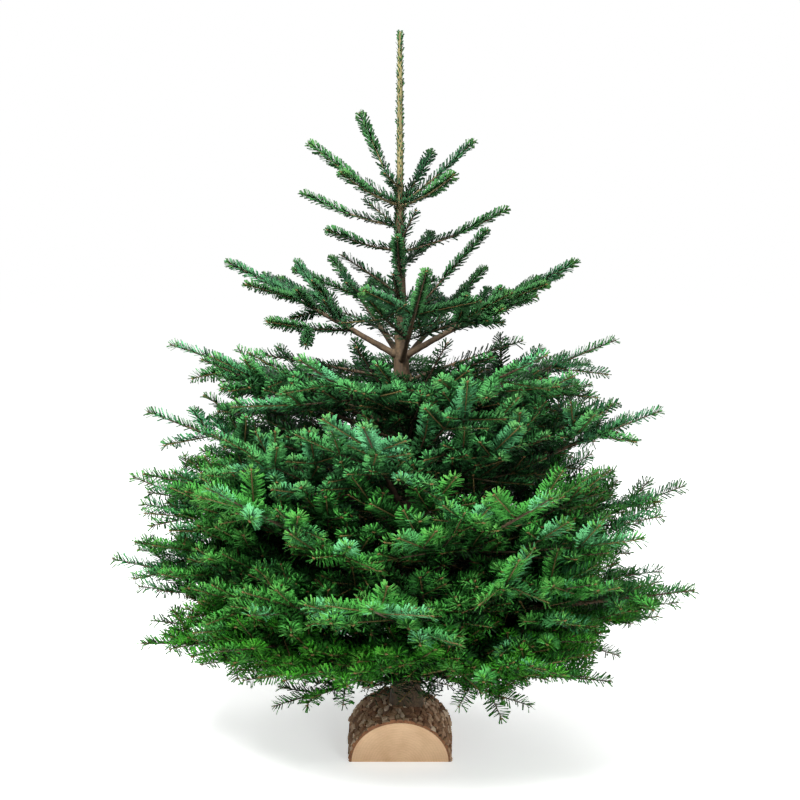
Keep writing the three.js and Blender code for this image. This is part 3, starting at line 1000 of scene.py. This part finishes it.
bm = loftTube([trunkAxis(z) for z in trunkStations], [shownRadius(z) for z in trunkStations],
              trunkRelief["sides"], barkLump)
piece = newObject("trunk_bark", meshFromBmesh("trunk_bark", bm), [youngBark])
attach(piece, "root")
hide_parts("trunk")

boughRelief = {
    "knuckle": 0.22,        # the swelling at each year's fork, over the bough's radius
    "knuckleSpan": 2.2,     # how long it is
    "grain": 0.14, "grainScale": 90,
    "sides": 8,
    "start": 0.6,           # how far out in the trunk a bough's bark starts, over the trunk's radius
}
boughMesh = bmesh.new()
for limb in limbs:
    nodes = np.array(limb["nodes"]) * limb["total"]
    step = limb["total"] / (len(limb["points"]) - 1)

    def knuckle(point, out, radius, i):
        spot = point + out * radius
        span = boughRelief["knuckleSpan"] * radius + mm
        swell = float(np.exp(-((i * step - nodes) / span) ** 2).max())
        grain = noise.noise(spot * boughRelief["grainScale"])
        return radius * (boughRelief["knuckle"] * swell + boughRelief["grain"] * grain)

    start = max(1, int(boughRelief["start"] * trunkRadius(limb["points"][0][2]) / step))
    bm = loftTube(limb["points"][start:], limb["radii"][start:], boughRelief["sides"], knuckle)
    mesh = meshFromBmesh("limb", bm)
    boughMesh.from_mesh(mesh)
    bpy.data.meshes.remove(mesh)
piece = newObject("boughs", meshFromBmesh("boughs", boughMesh), [youngBark])
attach(piece, "root")
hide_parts(*nodesLike("bough_ring"))
print("trunk and boughs:", len(piece.data.polygons), "faces on the boughs")


# The half log
logLow, logHigh = (np.array(c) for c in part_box("half_log_stand"))
logLength = float(logHigh[1] - logLow[1])
logSpots = nodeCorners("half_log_stand")
frontSpots = logSpots[np.abs(logSpots[:, 1] - logLow[1]) < 1e-4]
frontHalf, backHalf = float(frontSpots[:, 0].max()), float(logHigh[0])
frontRise, backRise = float(frontSpots[:, 2].max()), float(logHigh[2])
logShape = {
    "around": 230, "deep": 150,         # grid of the bark's outer face
    "bark": 6.8 * mm,                   # thickness of the bark
    "lap": 0.4 * mm,                    # how far the wood reaches out into it
    "plate": 12 * mm,                   # a bark plate's usual width
    "plateLength": 1.6,                 # its length along the log over that
    "warp": (0.55, 0.45),               # how uneven the plates' edges are, over their size
    "warpScale": (45, 30),
    "relief": 5.4 * mm,                 # from the bottom of a fissure to a plate's face
    "level": 0.75,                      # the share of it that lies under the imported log's face
    "least": 0.42,                      # the flattest plate's height over the tallest one's
    "tilt": 0.16,                       # how far plates tilt
    "fissure": 2.6 * mm, "fissureFoot": 0.1 * mm,
    "grain": 0.7 * mm, "grainScale": (420, 260),
    "flake": 1.0 * mm, "flakeScale": (170, 60), "flakeSteps": 3,
    "rimTone": 0.6,                     # the rim's inner edge is this much a fissure in colour
    "woodSteps": 96,
}


def archSize(depth):
    # half the log's width, and its height, at a depth from 0 at the front to 1 at the back
    return frontHalf + (backHalf - frontHalf) * depth, frontRise + (backRise - frontRise) * depth


def archPoint(turn, depth, inset=0.0):
    # a point of the log's arch, whose turn is 0 on the right and pi on the left
    half, rise = archSize(depth)
    return np.array(((half - inset) * np.cos(turn), logLow[1] + (logHigh[1] - logLow[1]) * depth,
                     (rise - inset) * np.sin(turn)))


def barkNoise(across, along, scale, layer):
    # noise over the bark's face as if it lay flat
    return np.array([noise.noise(Vector((a * scale[0], b * scale[1], layer)))
                     for a, b in zip(across, along)])


def plateField(across, along):
    # bark plates as a height from 0 to 1, a tone for each plate, and how deep in a fissure
    seeds = np.random.default_rng(7)
    cellWide, cellLong = logShape["plate"], logShape["plate"] * logShape["plateLength"]
    u = across / cellWide + logShape["warp"][0] * barkNoise(across, along, logShape["warpScale"], 3.0)
    v = along / cellLong + logShape["warp"][1] * barkNoise(across, along, logShape["warpScale"], 9.0)
    # each plate has a middle, a tone and a lift of its own, and takes in the face nearest to it
    plates = 64
    table = seeds.random((plates, plates, 4))
    nearest, second = np.full(len(u), 9.0), np.full(len(u), 9.0)
    tone, lift, tilt = np.zeros((3, len(u)))
    for du in (-1, 0, 1):
        for dv in (-1, 0, 1):
            cu, cv = np.floor(u).astype(int) + du, np.floor(v).astype(int) + dv
            cell = table[cu % plates, cv % plates]
            gapU, gapV = cu + cell[:, 0] - u, cv + cell[:, 1] - v
            away = np.hypot(gapU, gapV)
            closer = away < nearest
            second = np.where(closer, nearest, np.minimum(second, away))
            tone = np.where(closer, cell[:, 2], tone)
            lift = np.where(closer, cell[:, 3], lift)
            tilt = np.where(closer, gapU, tilt)
            nearest = np.where(closer, away, nearest)
    edge = (second - nearest) * cellWide
    plate = smoothStep(edge, logShape["fissureFoot"], logShape["fissure"])
    height = plate * (logShape["least"] + (1 - logShape["least"]) * lift + logShape["tilt"] * tilt)
    return height, tone, 1 - plate


bm = bmesh.new()
bmesh.ops.create_grid(bm, x_segments=logShape["around"], y_segments=logShape["deep"], size=0.5)
gridSpots = np.array([v.co for v in bm.verts])
shareAround = 0.5 - gridSpots[:, 0]      # 0 at the left foot of the arch, 1 at the right
shareDeep = gridSpots[:, 1] + 0.5
turnAt = math.pi * (1 - shareAround)
arcLength = math.pi * (frontHalf + frontRise) / 2
across, along = shareAround * arcLength, shareDeep * logLength
height, tone, fissure = plateField(across, along)
grainAcross, grainAlong = logShape["grainScale"]
grain = np.array([noise.fractal(Vector((a * grainAcross, b * grainAlong, 1.0)), 0.6, 2.0, 3)
                  for a, b in zip(across, along)])
flakes = barkNoise(across, along, logShape["flakeScale"], 5.0)
flakes = np.round(flakes * logShape["flakeSteps"]) / logShape["flakeSteps"]
out = (height - logShape["level"]) * logShape["relief"]
out = out + grain * logShape["grain"] + flakes * logShape["flake"]
# the sawn ends and the sawn underside cut the relief off flat, so it only moves in or out there
for v, turn, depth, push in zip(bm.verts, turnAt, shareDeep, out):
    v.co = Vector(archPoint(turn, depth, -float(push)))
    v.co.z = max(v.co.z, 0.0)
toneLayer = bm.verts.layers.float.new("plateTone")
fissureLayer = bm.verts.layers.float.new("fissure")
for v, a, b in zip(bm.verts, tone, fissure):
    v[toneLayer] = a
    v[fissureLayer] = b
rimEdges = [e for e in bm.edges if e.is_boundary]
rimMade = bmesh.ops.extrude_edge_only(bm, edges=rimEdges)["geom"]
rimVerts = [g for g in rimMade if isinstance(g, bmesh.types.BMVert)]
rimFaces = [g for g in rimMade if isinstance(g, bmesh.types.BMFace)]
for v in rimVerts:
    v[fissureLayer] = logShape["rimTone"]
    depth = (v.co.y - logLow[1]) / (logHigh[1] - logLow[1])
    half, rise = archSize(depth)
    turn = math.atan2(v.co.z / rise, v.co.x / half)
    v.co = Vector(archPoint(turn, depth, logShape["bark"]))
    v.co.z = max(v.co.z, 0.0)
for face in rimFaces:
    face.material_index = 1
print("log bark:", len(bm.faces), "faces")


def logBarkMaterial():
    material, shader = newMaterial("log bark", 0.92)
    w = Wiring(material.node_tree)
    place = w.node("ShaderNodeTexCoord").outputs["Object"]
    plates = w.node("ShaderNodeAttribute", attribute_name="plateTone").outputs["Fac"]
    crack = w.node("ShaderNodeAttribute", attribute_name="fissure").outputs["Fac"]
    tone = placeMottle(w, place, 70.0, 520.0, 0.5)
    mixed = w.node("ShaderNodeMath", {0: plates, 1: tone.outputs["Tone"]}, operation="ADD")
    halved = w.node("ShaderNodeMath", {0: mixed.outputs[0], 1: 0.5}, operation="MULTIPLY")
    grey = w.ramp(halved.outputs[0], [(0.22, (0.120, 0.056, 0.026)), (0.42, (0.300, 0.168, 0.090)),
                                      (0.60, (0.470, 0.310, 0.195)), (0.80, (0.700, 0.560, 0.420))])
    rust = w.ramp(tone.outputs["Tone"], [(0.35, (0.170, 0.062, 0.024)), (0.65, (0.460, 0.210, 0.095))])
    rusty = w.node("ShaderNodeTexNoise", {"Vector": place, "Scale": 28.0, "Detail": 3.0})
    rustShare = w.ramp(rusty.outputs["Fac"], [(0.52, (0, 0, 0)), (0.66, (0.6, 0.6, 0.6))])
    plate = w.blend(rustShare, grey, rust)
    deepShare = w.ramp(crack, [(0.35, (0, 0, 0)), (0.95, (1, 1, 1))])
    colour = w.blend(deepShare, plate, (0.075, 0.036, 0.018))
    w.feed(shader, colour, w.bump(tone.outputs["Grain"], 0.7, 1.0 * mm))
    return material


def innerBarkMaterial():
    material, shader = newMaterial("inner bark", 0.8)
    w = Wiring(material.node_tree)
    place = w.node("ShaderNodeTexCoord").outputs["Object"]
    tone = placeMottle(w, place, 140.0, 700.0, 0.5)
    colour = w.ramp(tone.outputs["Tone"], [(0.3, (0.120, 0.042, 0.016)), (0.55, (0.255, 0.105, 0.042)),
                                           (0.75, (0.400, 0.200, 0.090))])
    w.feed(shader, colour, w.bump(tone.outputs["Grain"], 0.5, 0.6 * mm))
    return material


def sawnWoodMaterial():
    material, shader = newMaterial("sawn wood", 0.7)
    w = Wiring(material.node_tree)
    place = w.node("ShaderNodeTexCoord").outputs["Object"]
    warp = w.node("ShaderNodeTexNoise", {"Vector": place, "Scale": 9.0, "Detail": 2.0})
    shift = w.node("ShaderNodeVectorMath", {0: warp.outputs["Color"], 1: (0.012, 0.0, 0.012)},
                   operation="MULTIPLY")
    bent = w.node("ShaderNodeVectorMath", {0: place, 1: shift.outputs[0]}, operation="ADD")
    flat = w.node("ShaderNodeMapping", {"Vector": bent.outputs[0], "Scale": (1.0, 0.0, 1.0),
                                        "Location": (-0.006, 0.0, 0.006)})
    rings = w.node("ShaderNodeTexWave", {"Vector": flat.outputs["Vector"], "Scale": 58.0,
                                         "Distortion": 2.6, "Detail": 3.0, "Detail Scale": 1.6},
                   wave_type="RINGS", rings_direction="SPHERICAL")
    tone = placeMottle(w, place, 22.0, 420.0, 0.25)
    base = w.ramp(tone.outputs["Tone"], [(0.3, (0.630, 0.395, 0.222)), (0.7, (0.820, 0.565, 0.348))])
    ringLight = w.ramp(rings.outputs["Fac"], [(0.15, (0.80, 0.78, 0.75)), (0.6, (1, 1, 1))])
    ringed = w.blend(0.24, base, ringLight, "MULTIPLY")
    # saw marks: faint straight scores across the face
    across = w.node("ShaderNodeMapping", {"Vector": place, "Scale": (0.12, 1.0, 1.0),
                                          "Rotation": (0.0, 0.35, 0.0)})
    scores = w.node("ShaderNodeTexNoise", {"Vector": across.outputs["Vector"], "Scale": 420.0,
                                           "Detail": 2.0})
    scoreLight = w.ramp(scores.outputs["Fac"], [(0.35, (0.7, 0.66, 0.6)), (0.6, (1, 1, 1))])
    scored = w.blend(0.18, ringed, scoreLight, "MULTIPLY")
    relief = w.node("ShaderNodeMath", {0: scores.outputs["Fac"], 1: rings.outputs["Fac"]},
                    operation="ADD")
    w.feed(shader, scored, w.bump(relief.outputs[0], 0.25, 0.4 * mm))
    return material


piece = newObject("log_bark", meshFromBmesh("log_bark", bm), [logBarkMaterial(), innerBarkMaterial()])
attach(piece, "root")
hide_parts("half_log_stand")

# the wood inside the bark, from one sawn end to the other
bm = bmesh.new()
woodInset = logShape["bark"] - logShape["lap"]
arcTurns = np.linspace(0, math.pi, logShape["woodSteps"] + 1)
face = bm.faces.new([bm.verts.new(archPoint(turn, 0.0, woodInset)) for turn in arcTurns])
made = bmesh.ops.extrude_face_region(bm, geom=[face])["geom"]
moved = [g for g in made if isinstance(g, bmesh.types.BMVert)]
for v, turn in zip(sorted(moved, key=lambda v: -v.co.x), arcTurns):
    v.co = Vector(archPoint(turn, 1.0, woodInset))
bmesh.ops.recalc_face_normals(bm, faces=bm.faces)
piece = newObject("log_wood", meshFromBmesh("log_wood", bm), [sawnWoodMaterial()])
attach(piece, "root")


# Studio
studio = {
    "distance": 2.6, "eye": 1.05, "pitch": 6.9,
    "lens": 57.4, "filmWidth": 36,
    "air": 0.62,            # light from all round
    "lampSize": 1.2,
    "floorSize": 60,
    "floorGlow": 0.1,       # how much of the floor's white is its own, so that shadows stay faint
    "floorWhite": 4.98,
}
# each lamp's power and place, and the height that it is aimed at, both heights over the tree's own
lamps = {
    "key": (155, (-0.8, -1.6, 1.9), 0.4),
    "fill": (40, (1.7, -2.8, 0.8), 0.35),
    "rear": (35, (0.9, 2.4, 1.7), 0.4),
}


def floorMaterial():
    material, shader = newMaterial("studio white", 0.9, Specular_IOR_Level=0.0)
    shader.inputs["Base Color"].default_value = (0.9, 0.9, 0.9, 1)
    w = Wiring(material.node_tree)
    glow = w.node("ShaderNodeEmission", {"Strength": studio["floorWhite"]})
    toCamera = w.node("ShaderNodeLightPath").outputs["Is Camera Ray"]
    share = w.node("ShaderNodeMath", {0: toCamera, 1: studio["floorGlow"]}, operation="MULTIPLY")
    mixed = w.node("ShaderNodeMixShader", {0: share.outputs[0], 1: shader.outputs[0],
                                           2: glow.outputs[0]})
    output = material.node_tree.nodes["Material Output"]
    material.node_tree.links.new(mixed.outputs[0], output.inputs["Surface"])
    return material


bm = bmesh.new()
bmesh.ops.create_grid(bm, x_segments=1, y_segments=1, size=studio["floorSize"])
floor = newObject("studio_floor", meshFromBmesh("studio_floor", bm), [floorMaterial()])

world = bpy.data.worlds.new("studio air")
bpy.context.scene.world = world
world.use_nodes = True
w = Wiring(world.node_tree)
air = world.node_tree.nodes["Background"]
toCamera = w.node("ShaderNodeLightPath").outputs["Is Camera Ray"]
strength = w.node("ShaderNodeMapRange", {"Value": toCamera, "To Min": studio["air"], "To Max": 1.0})
world.node_tree.links.new(strength.outputs["Result"], air.inputs["Strength"])
air.inputs["Color"].default_value = (1, 1, 1, 1)

treeHeight = float(cadBounds[1][2])
for name, (power, place, aim) in lamps.items():
    lamp = bpy.data.lights.new(name, "AREA")
    lamp.shape, lamp.size, lamp.energy = "DISK", studio["lampSize"], power
    light = bpy.data.objects.new(name, lamp)
    bpy.context.scene.collection.objects.link(light)
    light.location = (place[0], place[1], treeHeight * place[2])
    way = Vector((0, 0, treeHeight * aim)) - light.location
    light.rotation_euler = way.to_track_quat("-Z", "Y").to_euler()

camera = bpy.data.cameras.new("camera")
camera.lens, camera.sensor_width = studio["lens"], studio["filmWidth"]
cameraObject = bpy.data.objects.new("camera", camera)
bpy.context.scene.collection.objects.link(cameraObject)
cameraObject.location = (0, -studio["distance"], studio["eye"])
cameraObject.rotation_euler = (math.radians(90 - studio["pitch"]), 0, 0)
bpy.context.scene.camera = cameraObject
bpy.context.scene.view_settings.view_transform = "Standard"
